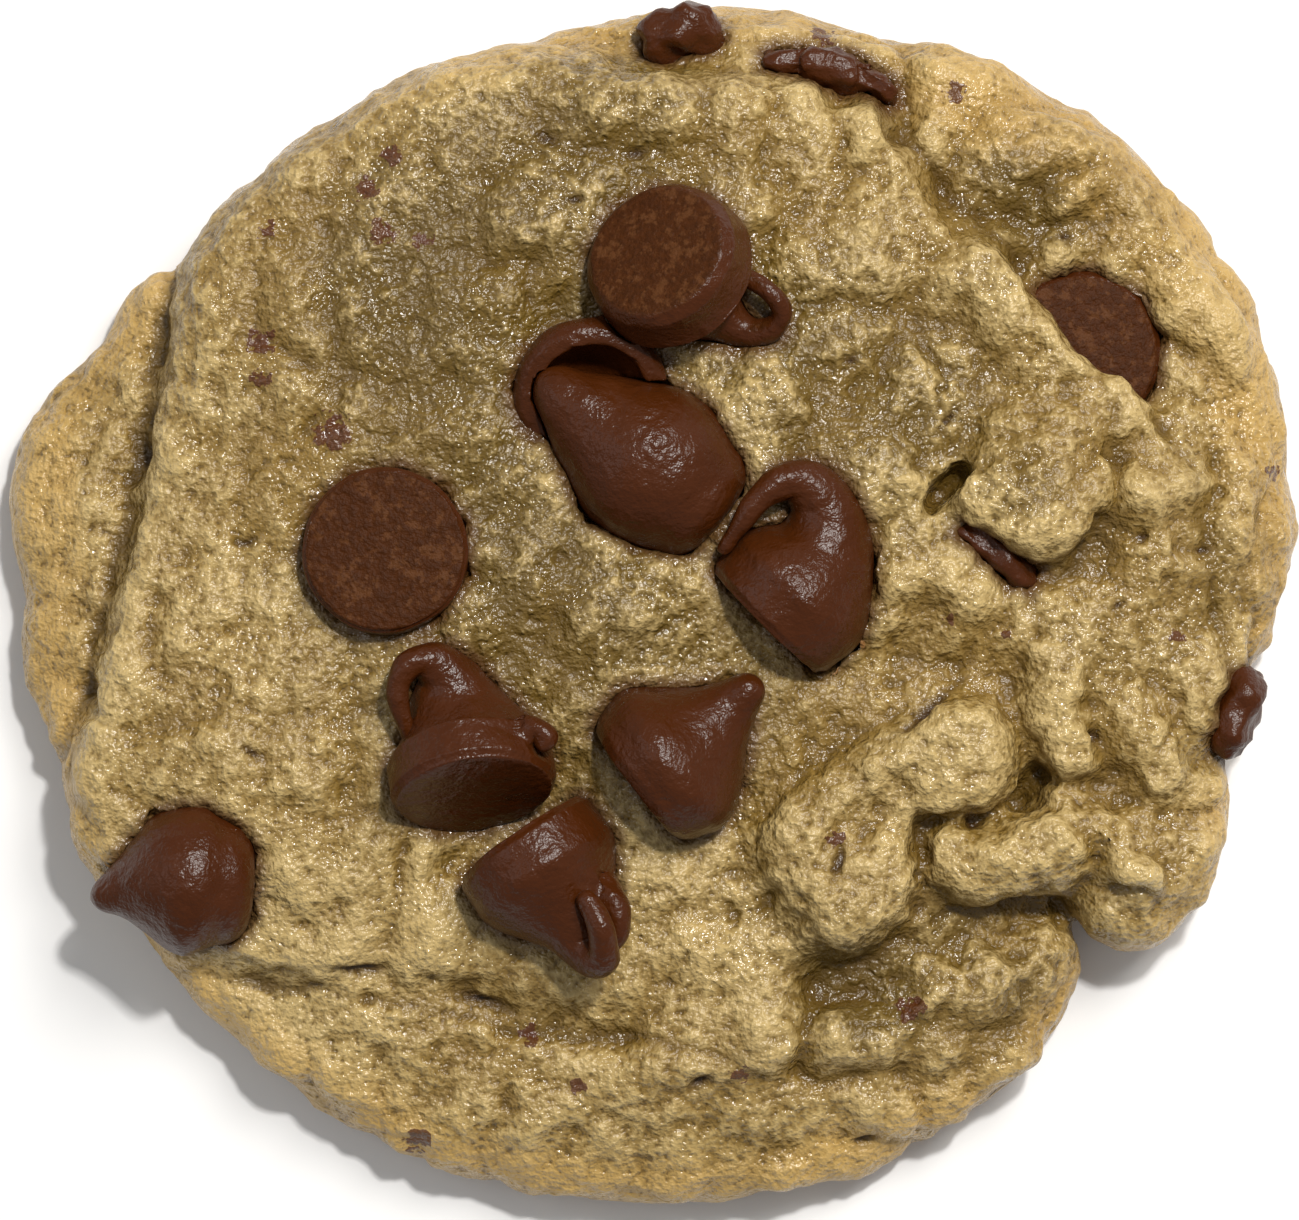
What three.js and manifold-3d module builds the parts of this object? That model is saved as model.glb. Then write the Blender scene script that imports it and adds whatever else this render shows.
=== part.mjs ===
// A soft-baked chocolate chip cookie lying flat: one folded mound of dough with whole and broken chips in it.
// Millimetres, +Z up. The origin is the middle of the footprint, on the surface that the cookie lies on.
// Seen from above with +Y away, the straight fold is on the left and the knobbly folds are on the right.
import * as THREE from "three";
import { mergeVertices } from "three/addons/utils/BufferGeometryUtils.js";
import Module from "manifold-3d";

const wasm = await Module();
wasm.setup();

// Driving dimensions.
const CHIP_RADIUS = 5.1;
const CHIP_RIM = 0.8; // rounding where a chip's flat base meets its flank
const BED_GAP = 0.3; // the narrow dark gap that baking leaves round a chip
const DOUGH_FACET = 2.5; // about how long the dough's facets are
const CHIP_SIDES = 11;
const CHIP_STEPS = 8;
const EDGE_MIDDLE = 0.45; // how far up its wall a lobe is widest
const EDGE_ANGLES = [-50, -10, 30, 65, 90]; // where a lobe's rolled edge has its rings, in degrees
const LUMP_SIZE = 6;
const FINE_LUMP_SIZE = 2.7;
const BROAD_SHARE = 0.65; // how much of the dough's unevenness is in its broad lumps
const LUMP_SEED = 7;
const RIM_RINGS = [[1, 0], [0.45, 0.16], [0.1, 0.6]]; // inset and height of a rounded rim's rings, of its size
const TIP_LENGTH = 0.6; // how far a chip's tip stands past its last ring, of that ring's radius
const CHIPPING = 0.12; // how rough a broken chip is, of its size
const CHIPPING_RATE = 2; // swells of that roughness to half its size

const DOUGH_COLOUR = 0xb89a5e;
const CHOCOLATE_COLOUR = 0x4a2416;
const TAU = Math.PI * 2;

const vector = ([x, y, z = 0]) => new THREE.Vector3(x, y, z);

// A number from 0 to 1 that is always the same for the same whole x, y and seed.
function hash(x, y, seed) {
  const mixed = Math.sin(x * 127.1 + y * 311.7 + seed * 74.7) * 43758.5453;
  return mixed - Math.floor(mixed);
}

// Smooth unevenness from -1 to 1, one swell for each unit of x and y.
function swell(x, y, seed) {
  const ix = Math.floor(x);
  const iy = Math.floor(y);
  const u = THREE.MathUtils.smoothstep(x - ix, 0, 1);
  const v = THREE.MathUtils.smoothstep(y - iy, 0, 1);
  const low = THREE.MathUtils.lerp(hash(ix, iy, seed), hash(ix + 1, iy, seed), u);
  const high = THREE.MathUtils.lerp(hash(ix, iy + 1, seed), hash(ix + 1, iy + 1, seed), u);
  return 2 * THREE.MathUtils.lerp(low, high, v) - 1;
}

// Long swellings and creases in the top of the dough. Each runs from one point to another, fades away over
// width on either side, and rises or sinks by rise. Those with on are in that lobe alone.
const RELIEF = [
  { from: [14.6, 9], to: [14.4, 0.5], width: 1.9, rise: 0.9 },
  { from: [6.4, 12.4], to: [8.6, 11.4], width: 2, rise: 0.7 },
  { from: [-31, 19], to: [-35, -8], width: 3, rise: 0.5 },
  { from: [-12, 32], to: [8, 31], width: 2.4, rise: 0.6 },
  { from: [14, 30], to: [25.4, 15.6], width: 2.6, rise: 0.9 },
  { from: [-7, 1.5], to: [-3.5, -2.5], width: 2.6, rise: 0.7 },
  { from: [-26, -7], to: [-22, -13], width: 3.4, rise: 0.5 },
  { from: [-18, -22.8], to: [-10, -24.6], width: 1.4, rise: -0.9 },
  { from: [-10, -24.6], to: [-2, -26.4], width: 1.4, rise: -0.9 },
  { from: [-5, 18.4], to: [4, 16.2], width: 2.2, rise: -1.5 },
  { from: [-12, -15.4], to: [-6, -11], width: 2, rise: -1.8 },
  { from: [15.5, -3.4], to: [22, -3.8], width: 1.4, rise: -0.9 },
  { from: [17, 2.6], to: [22, -0.8], width: 2.2, rise: 0.6 },
  { from: [11.2, -14.8], to: [14.8, -11.4], width: 1.1, rise: -1.5 },
  { from: [19.6, 29.6], to: [25.5, 26], width: 2.4, rise: 0.8 },
  { from: [28.4, 28], to: [36.4, 15], width: 2.4, rise: 0.9 },
  { from: [33.4, 12.6], to: [37, -1], width: 1.4, rise: -0.5 },
  { from: [-12, -31], to: [14, -29.6], width: 3, rise: 0.6 },
  { from: [-29, -22.6], to: [-19, -28.4], width: 1.8, rise: 0.5 },
  { from: [1, -27.8], to: [11.4, -25.2], width: 1.7, rise: 1.1 },
  { from: [13.4, -25.6], to: [24.2, -21.6], width: 2, rise: 1.2 },
  { from: [11, -24], to: [24.6, -18.8], width: 1.6, rise: -1.8 },
  { from: [24.4, -11.4], to: [31.4, -17.2], width: 1.7, rise: 1.8 },
  { from: [27, -10.8], to: [32.6, -14.4], width: 1, rise: -0.5 },
  { from: [25, 19.6], to: [28.6, 15.6], width: 4, rise: -1.5, on: "topRight" },
  { from: [15, 31], to: [21.6, 23], width: 2.4, rise: -1.3, on: "topRight" },
  { from: [-6, 35.6], to: [13, 33.4], width: 1.6, rise: -0.8, on: "topRight" },
  { from: [5.6, -11], to: [6.2, -19.6], width: 1.4, rise: -1.2, on: "main" },
  { from: [19.8, -7.2], to: [20.6, -9.4], width: 2.1, rise: 0.8 },
  { from: [28, -1.2], to: [29.4, -1.8], width: 1.9, rise: 0.9, on: "flank" },
  { from: [30.8, 9], to: [30.2, 6.4], width: 2, rise: 0.9, on: "flank" },
  { from: [31, 3.2], to: [31, 1.4], width: 1.8, rise: 0.9, on: "flank" },
  { from: [35.4, 3.8], to: [35.2, 2], width: 1.8, rise: 0.8, on: "flank" },
  { from: [9.6, -16.8], to: [11.6, -19.2], width: 2.4, rise: 0.7, on: "frontFold" },
];

// How far the top of a lobe stands above or below a smooth pillow at x, y.
function relief(x, y, rough, name) {
  const broad = swell(x / LUMP_SIZE, y / LUMP_SIZE, LUMP_SEED);
  const fine = swell(x / FINE_LUMP_SIZE, y / FINE_LUMP_SIZE, LUMP_SEED + 1);
  let height = rough * THREE.MathUtils.lerp(fine, broad, BROAD_SHARE);
  for (const { from, to, width, rise, on } of RELIEF) {
    if (on && on !== name) continue;
    const [dx, dy] = [to[0] - from[0], to[1] - from[1]];
    const along = ((x - from[0]) * dx + (y - from[1]) * dy) / (dx * dx + dy * dy);
    const t = THREE.MathUtils.clamp(along, 0, 1);
    const away = Math.hypot(x - from[0] - t * dx, y - from[1] - t * dy);
    height += rise * Math.exp(-((away / width) ** 2));
  }
  return height;
}

function toSolid(geometry) {
  const bare = geometry.clone();
  bare.deleteAttribute("normal");
  bare.deleteAttribute("uv");
  const merged = mergeVertices(bare, 1e-4);
  return new wasm.Manifold(
    new wasm.Mesh({
      numProp: 3,
      vertProperties: new Float32Array(merged.attributes.position.array),
      triVerts: new Uint32Array(merged.index.array),
    }),
  );
}

function toGeometry(solid) {
  const mesh = solid.getMesh();
  const geometry = new THREE.BufferGeometry();
  geometry.setAttribute("position", new THREE.BufferAttribute(mesh.vertProperties, 3));
  geometry.setIndex(new THREE.BufferAttribute(mesh.triVerts, 1));
  geometry.computeVertexNormals();
  return geometry;
}

// Joins closed rings into one skin, with a point before the first and a point after the last. Rings turn
// anticlockwise as seen from the last one, start at the same side, and needn't have equally many points.
function skinOf(rings, first, last) {
  const points = [first, ...rings.flat(), last];
  const index = [];
  let start = 1;
  rings[0].forEach((p, k) => index.push(0, start + ((k + 1) % rings[0].length), start + k));
  for (let ring = 0; ring + 1 < rings.length; ring++) {
    const low = rings[ring].length;
    const high = rings[ring + 1].length;
    const next = start + low;
    let i = 0;
    let j = 0;
    while (i < low || j < high) {
      if ((i + 1) * high <= (j + 1) * low) {
        index.push(start + i, start + ((i + 1) % low), next + (j % high));
        i += 1;
      } else {
        index.push(start + (i % low), next + ((j + 1) % high), next + j);
        j += 1;
      }
    }
    start = next;
  }
  const top = rings[rings.length - 1];
  top.forEach((p, k) => index.push(start + k, start + ((k + 1) % top.length), points.length - 1));
  const geometry = new THREE.BufferGeometry().setFromPoints(points);
  geometry.setIndex(index);
  return geometry;
}

// A pillow of dough over a closed outline. Its foot is tucked in, its edge is rolled, and its top rises from
// the shoulder by crown in the middle. lean tips the top, as rise for each millimetre of x and y.
function lobe([name, shape]) {
  const { outline, foot = 0, shoulder, crown, roll, lean = [0, 0], facet = DOUGH_FACET, rough } = shape;
  const { middle: [cx, cy], tuck = 1.5 } = shape;
  const line = new THREE.CatmullRomCurve3(outline.map(vector), true);
  const girth = line.getLength();
  const waist = foot + EDGE_MIDDLE * (shoulder - foot);
  const ringAt = (inset, share, height, onTop) => {
    const count = Math.max(6, Math.round((girth * share) / facet));
    return line.getSpacedPoints(count).slice(0, count).map((p) => {
      const scale = share * (1 - inset / Math.hypot(p.x - cx, p.y - cy));
      const x = cx + (p.x - cx) * scale;
      const y = cy + (p.y - cy) * scale;
      const tip = onTop * (lean[0] * (x - cx) + lean[1] * (y - cy) + relief(x, y, rough, name));
      return new THREE.Vector3(x, y, height + tip);
    });
  };
  const stack = [ringAt(tuck, 1, foot, 0)];
  for (const degrees of EDGE_ANGLES) {
    const angle = THREE.MathUtils.degToRad(degrees);
    const rise = Math.sin(angle) * (degrees < 0 ? waist - foot : shoulder - waist);
    stack.push(ringAt(roll * (1 - Math.cos(angle)), 1, waist + rise, Math.max(0, Math.sin(angle))));
  }
  const rings = Math.round((girth / TAU - roll) / facet);
  for (let k = 1; k < rings; k++) {
    const share = 1 - k / rings;
    stack.push(ringAt(roll, share, shoulder + crown * (1 - share * share), 1));
  }
  const bottom = new THREE.Vector3(cx, cy, foot);
  const top = new THREE.Vector3(cx, cy, shoulder + crown + relief(cx, cy, rough, name));
  return toSolid(skinOf(stack, bottom, top));
}

// A ball pressed long and thin, lying along the surface.
function pressedBall({ middle, length, width, turn, top, depth }) {
  const ball = new THREE.SphereGeometry(1, 10, 6);
  ball.rotateX(Math.PI / 2);
  ball.scale(length / 2, width / 2, depth);
  ball.rotateZ(THREE.MathUtils.degToRad(turn));
  ball.translate(middle[0], middle[1], top - depth);
  return toSolid(ball);
}

// The lobes of the folded dough. Outlines run anticlockwise.
const LOBES = {
  main: {
    middle: [-3, 4], shoulder: 9.4, crown: 2.2, roll: 2.4, tuck: 2.6, lean: [-0.01, 0.03], rough: 0.5,
    outline: [
      [31.4, 11.8], [29.7, 13.7], [27.2, 15], [25.3, 18], [22.8, 20.9], [19.6, 24], [17.5, 27], [15.4, 30.4],
      [12, 32.4], [5, 33.8], [-1, 34.3], [-7.4, 35.2], [-13, 34.2], [-18.2, 31.5], [-24.4, 27.2], [-29.4, 21.3],
      [-30.6, 15], [-32, 8], [-33.6, 0], [-34.7, -5], [-36.3, -10], [-35.9, -14.5], [-33, -19], [-28, -22],
      [-22, -23.4], [-15, -24], [-8, -25.6], [0, -26.2], [6, -23.6], [13, -17], [22, -12], [28, -6], [30.4, 2],
    ],
  },
  topRight: {
    middle: [14, 10], shoulder: 7.4, crown: 2.4, roll: 2.6, tuck: 1.6, rough: 0.5,
    outline: [
      [40, 7.5], [39.4, 13], [37.2, 19.4], [33.6, 24.8], [28.6, 30.4], [26.4, 30.9], [20, 34.7], [16.4, 35.3],
      [8, 37.4], [2, 37.4], [-3, 36.7], [-8, 34.6], [-10, 24], [-7, 10], [0, 0], [10, -6], [22, -8.6], [30, -9],
      [34.6, -8.6], [37, -4.6], [38.8, -2.5], [39.4, 2],
    ],
  },
  bottom: {
    middle: [-3, -12], shoulder: 6.2, crown: 3.4, roll: 2.8, tuck: 1.6, facet: 2.3, rough: 0.5,
    outline: [
      [26.4, -19.5], [25.6, -16], [23, -8], [15, 2], [0, 10], [-18, 8], [-30, 0], [-34, -8], [-33.6, -17],
      [-31, -21.6], [-27, -26], [-22, -30.2], [-15, -34.2], [-8, -36.3], [0, -37.3], [8, -36.4], [15.5, -34],
      [22.3, -30], [25.8, -26], [26.9, -22.5],
    ],
  },
  leftLip: {
    middle: [-33, 5], shoulder: 5.2, crown: 1.2, roll: 2.2, tuck: 1.1, facet: 1.9, rough: 0.8,
    outline: [
      [-27, 18], [-29.2, 21.4], [-32, 20.4], [-34.4, 16.6], [-37.8, 13.4], [-40, 8.6], [-40, 4], [-39, 0],
      [-39.6, -3], [-38, -6.4], [-37.2, -9], [-35.8, -10.6], [-32, -8], [-28, 0], [-26, 10],
    ],
  },
  flank: {
    middle: [30, 1.4], foot: 2, shoulder: 9.1, crown: 0.6, roll: 1.6, lean: [-0.13, 0.02], facet: 2, rough: 0.3,
    outline: [
      [38.4, 6], [36.4, 12], [32.6, 13.4], [28.6, 11.6], [24.4, 5], [21.6, -1], [22.6, -6.4], [24.6, -10.4],
      [30, -11], [34.6, -9], [37, -3.4], [38.6, 1],
    ],
  },
  firstKnob: {
    middle: [25.2, -6.2], foot: 6, shoulder: 10.7, crown: 0.7, roll: 1.2, facet: 1.7, rough: 0.3,
    outline: [
      [27.7, -10], [27.2, -7], [27, -3.6], [25.7, -1.4], [23.6, -1.8], [22.5, -4.2], [22.7, -6.4], [23.8, -9],
      [25.6, -11],
    ],
  },
  secondKnob: {
    middle: [30, -7.6], foot: 6, shoulder: 10, crown: 0.7, roll: 1.2, facet: 1.7, rough: 0.3,
    outline: [
      [33.4, -11], [32.5, -7.4], [30.9, -4.4], [28.5, -3.5], [27, -5.2], [27.5, -7.9], [29.2, -10.3],
      [31.6, -12.2],
    ],
  },
  thirdKnob: {
    middle: [33.5, -5], foot: 5, shoulder: 9.4, crown: 0.6, roll: 1.1, facet: 1.7, rough: 0.3,
    outline: [
      [35.5, -7], [35.6, -4], [34.7, -2.2], [32, -1.8], [31, -3.4], [32, -5.8], [33.3, -8.2], [34.8, -8.6],
    ],
  },
  rightFold: {
    middle: [29.6, -13.6], shoulder: 8.5, crown: 1, roll: 2.7, tuck: 1.6, facet: 1.8, rough: 0.3,
    outline: [
      [36.3, -12], [36.2, -10.2], [34.6, -8.6], [30, -8], [25, -9], [23.4, -10.6], [23, -12.4], [23.6, -14.6],
      [24.6, -16.6], [26.2, -18.7], [28, -20.6], [30.5, -21.3], [33.2, -19], [35.4, -15.6],
    ],
  },
  frontFold: {
    middle: [12.9, -12], foot: 2, shoulder: 11.2, crown: 0.8, roll: 2, facet: 1.6, rough: 0.2,
    outline: [
      [22.9, -9.5], [22.7, -7.3], [21.8, -5.4], [19.3, -4.8], [17.1, -5.6], [14.5, -6.4], [11.3, -8.4],
      [8.7, -10.2], [6.9, -12.7], [6.5, -16], [6.9, -17.8], [8.5, -19.9], [9.8, -21.6], [11.8, -22.2],
      [13.8, -21.1], [15.4, -19.6], [16.7, -17.8], [16.6, -15.6], [16.7, -13.4], [18.2, -12.6], [20.4, -12.6],
      [22.4, -11.8],
    ],
  },
  lowerFold: {
    middle: [21, -15.3], foot: 3, shoulder: 10.3, crown: 0.7, roll: 1.7, facet: 1.7, rough: 0.2,
    outline: [
      [28, -15.4], [26, -12.6], [22.6, -12.4], [20, -13], [17.8, -12.6], [16.6, -14.4], [16.7, -16.6],
      [17.9, -17.9], [20, -18.3], [22.6, -17.8], [25.6, -17.8],
    ],
  },
  brow: {
    middle: [24.6, 15.4], foot: 8.4, shoulder: 10.2, crown: 0.3, roll: 1.3, tuck: 0.5, facet: 2, rough: 0.3,
    outline: [
      [31.2, 12.5], [29.8, 13.5], [28.4, 14.6], [27.3, 14.9], [26.2, 16.4], [25, 18], [24, 19.3], [22.7, 20.5],
      [21.3, 22.1], [18.6, 22.6], [18.8, 18], [21.6, 13], [25, 10.6], [29, 10], [31.6, 11],
    ],
  },
  crackedFlap: {
    middle: [23.4, 8.6], foot: 8.6, shoulder: 12, crown: 0.8, roll: 1.8, tuck: 0.8, lean: [0, -0.28],
    facet: 1.9, rough: 0.4,
    outline: [
      [28.1, 8], [27.7, 11.4], [27, 14], [23.4, 15.4], [20.6, 12.4], [19.2, 9], [18.2, 6.8], [19.2, 5.2],
      [21.4, 3.8], [23.1, 2.7], [25.6, 3.2], [28, 5.4],
    ],
  },
  middleBulge: {
    middle: [2.6, -20.8], foot: 2, shoulder: 8.9, crown: 1.1, roll: 2, facet: 2, rough: 0.3,
    outline: [
      [7.9, -20.4], [6, -17], [2, -16.4], [-2, -18], [-2.9, -21.6], [0, -24.4], [3.5, -25.2], [6.6, -23.6],
    ],
  },
};

// The openings beside the flap, each as a ball pressed to this length, width and depth.
const CRACKS = [
  { middle: [18.2, 7.4], length: 4.6, width: 1.7, turn: 44, top: 14.6, depth: 3.6 },
  { middle: [21, 3.2], length: 5.6, width: 1.2, turn: -40, top: 14, depth: 4 },
];

// Rings of a chip: a flat base with a rounded rim, and a flank that follows spine, the chip's middle line.
// radii are the flank's radii at equal steps from just above the rim to the tip.
function chipBody({ spine, radii, rim = CHIP_RIM, sides = CHIP_SIDES, steps = CHIP_STEPS }, grow) {
  const route = new THREE.CatmullRomCurve3(spine.map(vector));
  const length = route.getLength();
  const last = radii.length - 1;
  const thickness = new THREE.CatmullRomCurve3(radii.map((r, k) => new THREE.Vector3(k / last, r, 0)));
  const frames = route.computeFrenetFrames(steps);
  const ringAt = (middle, normal, binormal, radius) =>
    Array.from({ length: sides }, (_, side) => {
      const angle = (side / sides) * TAU;
      const p = middle.clone().addScaledVector(normal, radius * Math.cos(angle));
      return p.addScaledVector(binormal, radius * Math.sin(angle));
    });
  const ahead = frames.tangents[0];
  const base = route.getPointAt(0).addScaledVector(ahead, -grow);
  const rings = RIM_RINGS.map(([inset, above]) => {
    const middle = base.clone().addScaledVector(ahead, above * rim);
    return ringAt(middle, frames.normals[0], frames.binormals[0], radii[0] + grow - inset * rim);
  });
  for (let k = 0; k <= steps; k++) {
    const t = THREE.MathUtils.lerp(rim / length, 1, k / steps);
    const radius = thickness.getPoint(k / steps).y + grow;
    rings.push(ringAt(route.getPointAt(t), frames.normals[k], frames.binormals[k], radius));
  }
  const tipAhead = frames.tangents[steps];
  const tip = route.getPointAt(1).addScaledVector(tipAhead, TIP_LENGTH * radii[last] + grow);
  return toSolid(skinOf(rings, base, tip));
}

// A broken piece of chip: a ball pressed into a rough block.
function chunk({ middle, size, turn = 0, tilt = 0 }, grow) {
  const block = new THREE.SphereGeometry(1, 9, 6);
  const place = block.getAttribute("position");
  const p = new THREE.Vector3();
  for (let k = 0; k < place.count; k++) {
    p.fromBufferAttribute(place, k);
    const squareness = Math.pow(p.x ** 4 + p.y ** 4 + p.z ** 4, -0.25);
    const rough = swell(p.x * CHIPPING_RATE + middle[0], (p.y + p.z) * CHIPPING_RATE + middle[1], LUMP_SEED);
    p.multiplyScalar(squareness * (1 + CHIPPING * rough));
    place.setXYZ(k, p.x, p.y, p.z);
  }
  block.scale(size[0] / 2 + grow, size[1] / 2 + grow, size[2] / 2 + grow);
  block.rotateX(THREE.MathUtils.degToRad(tilt));
  block.rotateZ(THREE.MathUtils.degToRad(turn));
  block.translate(...middle);
  return toSolid(block);
}

// Whole chips. Each spine runs from the middle of the flat base to the end of the tip, or of the thread that
// the nozzle drew off the tip.
const CHIPS = {
  chip_disc_top: {
    spine: [
      [0.3, 21.8, 15], [1.6, 20.5, 12.1], [3.6, 18.4, 10.6], [6.2, 16.9, 10.9], [8, 17.8, 12],
      [7.4, 19.3, 12.6], [5.6, 20.4, 12.2],
    ],
    radii: [4.9, CHIP_RADIUS, 3.9, 1.8, 0.9, 0.7, 0.6, 0.5], steps: 13, rim: 1.1,
  },
  chip_disc_left: {
    spine: [[-16.3, 3.6, 12.5], [-16.2, 3.4, 8.5], [-16, 3.2, 5]],
    radii: [CHIP_RADIUS, CHIP_RADIUS, 4.6, 3.6, 2.4, 1.2, 0.7], rim: 0.6, steps: 5,
  },
  chip_pressed: {
    spine: [[-3.6, 13, 11.8], [-3.8, 14, 9.4], [-4, 14.8, 7.4]],
    radii: [4.7, 4.7, 4, 3, 2, 1], rim: 0.8, steps: 5,
    bowl: { middle: [-3.5, 12.6, 12.6], radius: 3.7 }, under: ["chip_teardrop", "chip_disc_top"],
  },
  chip_teardrop: {
    spine: [[4.2, 5.6, 9.8], [0.6, 8.4, 10.4], [-2.8, 11, 11.2], [-5.2, 12.9, 12], [-6.4, 13.9, 12.1]],
    radii: [4.2, 4.8, 5, 4.9, 4.4, 3.6, 2.8, 2, 1.3], steps: 10, rim: 2.2, gap: 0.4,
  },
  chip_curled_right: {
    spine: [
      [7, -0.8, 10.2], [9, 1.2, 10.4], [10.6, 3.8, 10.8], [10.6, 6.4, 11.6], [8.8, 7.9, 12.6], [6.9, 7, 13.2],
      [5.6, 5.3, 13.2], [4.4, 3.6, 12.6],
    ],
    radii: [4.8, 5, 3.9, 2.6, 1.9, 1.3, 0.9, 0.6, 0.4], steps: 15,
  },
  chip_pointing_right: {
    spine: [[-0.8, -10.8, 10.4], [2.2, -8.5, 10.8], [4.8, -6.1, 11.6], [6.2, -4.7, 12.4]],
    radii: [4.9, 5.3, 4.7, 3.5, 2.4, 1.6, 1], rim: 1.2,
  },
  chip_looped_left: {
    spine: [
      [-10.8, -11.4, 12.7], [-11.2, -8.9, 11.3], [-12, -6, 11], [-12.6, -3.9, 11.8], [-14.2, -3.1, 12.8],
      [-15.4, -4.4, 13], [-15.2, -6.6, 12.6], [-14.6, -8, 12],
    ],
    radii: [CHIP_RADIUS, CHIP_RADIUS, 3.9, 2.8, 1.7, 1, 0.7, 0.6, 0.5], steps: 15,
    lip: {
      spine: [[-8.6, -8.6, 13.6], [-7.6, -7.4, 14.2], [-6.8, -7.2, 14.5], [-6.3, -8.4, 14.6]],
      radii: [1.6, 1.1, 0.8, 0.7], rim: 0.4, sides: 8, steps: 4,
    },
  },
  chip_hooked_front: {
    spine: [
      [-8, -14.1, 9.8], [-6.3, -16.5, 10.2], [-4.6, -19, 11], [-3.7, -21, 11.9], [-2.9, -21.2, 13.3],
      [-3.1, -19.4, 14.4], [-4, -17.5, 14.2],
    ],
    radii: [4.8, 4.9, 3.8, 2.6, 1.6, 1, 0.8, 0.6], steps: 13, under: ["chip_looped_left"],
    lip: {
      spine: [[-3.4, -17, 11.4], [-2.4, -18, 12.4], [-1.9, -19.2, 12.6], [-2.6, -20.6, 12.2]],
      radii: [1.4, 1, 0.8, 0.8], rim: 0.4, sides: 8, steps: 4,
    },
  },
  chip_edge_left: {
    spine: [[-24.6, -16.9, 8.4], [-27.8, -16.7, 8.7], [-31.4, -17.2, 9], [-34, -17.8, 9]],
    radii: [4, 4.5, 4.7, 4.6, 4.1, 3.2, 2.3, 1.5, 0.9], steps: 10, rim: 2,
  },
  chip_disc_right: {
    spine: [[26.7, 16, 8], [26.4, 15.7, 5], [26.2, 15.5, 3]],
    radii: [5, 4.9, 4.2, 3.2, 2.4], steps: 4,
  },
};

// Broken chips, by their middle and their size before they are turned.
const CHUNKS = {
  chunk_top: { middle: [1.8, 35.6, 6.8], size: [5, 2.9, 4.2], turn: 10, tilt: -24 },
  chunk_under_edge: {
    middle: [11.4, 33.2, 7.6], size: [4.6, 2.5, 3.4], turn: -10, tilt: -16,
    more: [
      { middle: [8.8, 33.8, 7.4], size: [4, 1.8, 2.6], turn: 4, tilt: -10 },
      { middle: [13.8, 32.4, 7.8], size: [3.2, 1.6, 2.8], turn: -32 },
    ],
  },
  chunk_under_flap: { middle: [21.4, 3.5, 9.4], size: [5.4, 2.2, 3.2], turn: -40 },
  chunk_edge_right: { middle: [36.3, -6.4, 6.4], size: [2.8, 5.4, 4.4], turn: -24 },
};

// A chip or a broken chip with all that belongs to it, before its neighbours are cut from it.
function wholeChip(chip, grow) {
  const body = chip.spine ? chipBody(chip, grow) : chunk(chip, grow);
  const withLip = chip.lip ? body.add(chipBody(chip.lip, grow)) : body;
  return (chip.more ?? []).reduce((sum, part) => sum.add(chunk(part, grow)), withLip);
}

// Melting left one chip with a hollow base.
function hollowed(solid, { middle, radius }) {
  return solid.subtract(toSolid(new THREE.SphereGeometry(radius, 12, 8).translate(...middle)));
}

function largestPiece(solid) {
  return solid.decompose().reduce((best, piece) => (piece.volume() > best.volume() ? piece : best));
}

const chips = { ...CHIPS, ...CHUNKS };
const bodies = {};
for (const [name, chip] of Object.entries(chips)) {
  let solid = wholeChip(chip, 0);
  if (chip.bowl) solid = hollowed(solid, chip.bowl);
  for (const upper of chip.under ?? []) solid = solid.subtract(wholeChip(chips[upper], BED_GAP));
  bodies[name] = largestPiece(solid);
}

let dough = Object.entries(LOBES).map(lobe).reduce((sum, part) => sum.add(part));
dough = CRACKS.map(pressedBall).reduce((rest, part) => rest.subtract(part), dough);
for (const chip of Object.values(chips)) dough = dough.subtract(wholeChip(chip, chip.gap ?? BED_GAP));
dough = largestPiece(dough);

function piece(name, solid, color, roughness) {
  const material = new THREE.MeshStandardMaterial({ color, roughness, metalness: 0 });
  const mesh = new THREE.Mesh(toGeometry(solid), material);
  mesh.name = name;
  return mesh;
}

const cookie = new THREE.Group();
cookie.add(piece("dough", dough, DOUGH_COLOUR, 0.75));
for (const [name, solid] of Object.entries(bodies)) cookie.add(piece(name, solid, CHOCOLATE_COLOUR, 0.45));

// Set the origin at the middle of the footprint.
const box = new THREE.Box3().setFromObject(cookie, true);
cookie.position.copy(box.getCenter(new THREE.Vector3()).setZ(box.min.z)).negate();

export default cookie;
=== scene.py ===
"""A soft-baked chocolate chip cookie, seen from straight above on a plain pale surface."""

import math

import bmesh
import bpy
import numpy as np
from bpy.props import FloatProperty, FloatVectorProperty, IntProperty, PointerProperty
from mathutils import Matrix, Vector
from mathutils.bvhtree import BVHTree
from mathutils.kdtree import KDTree


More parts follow.
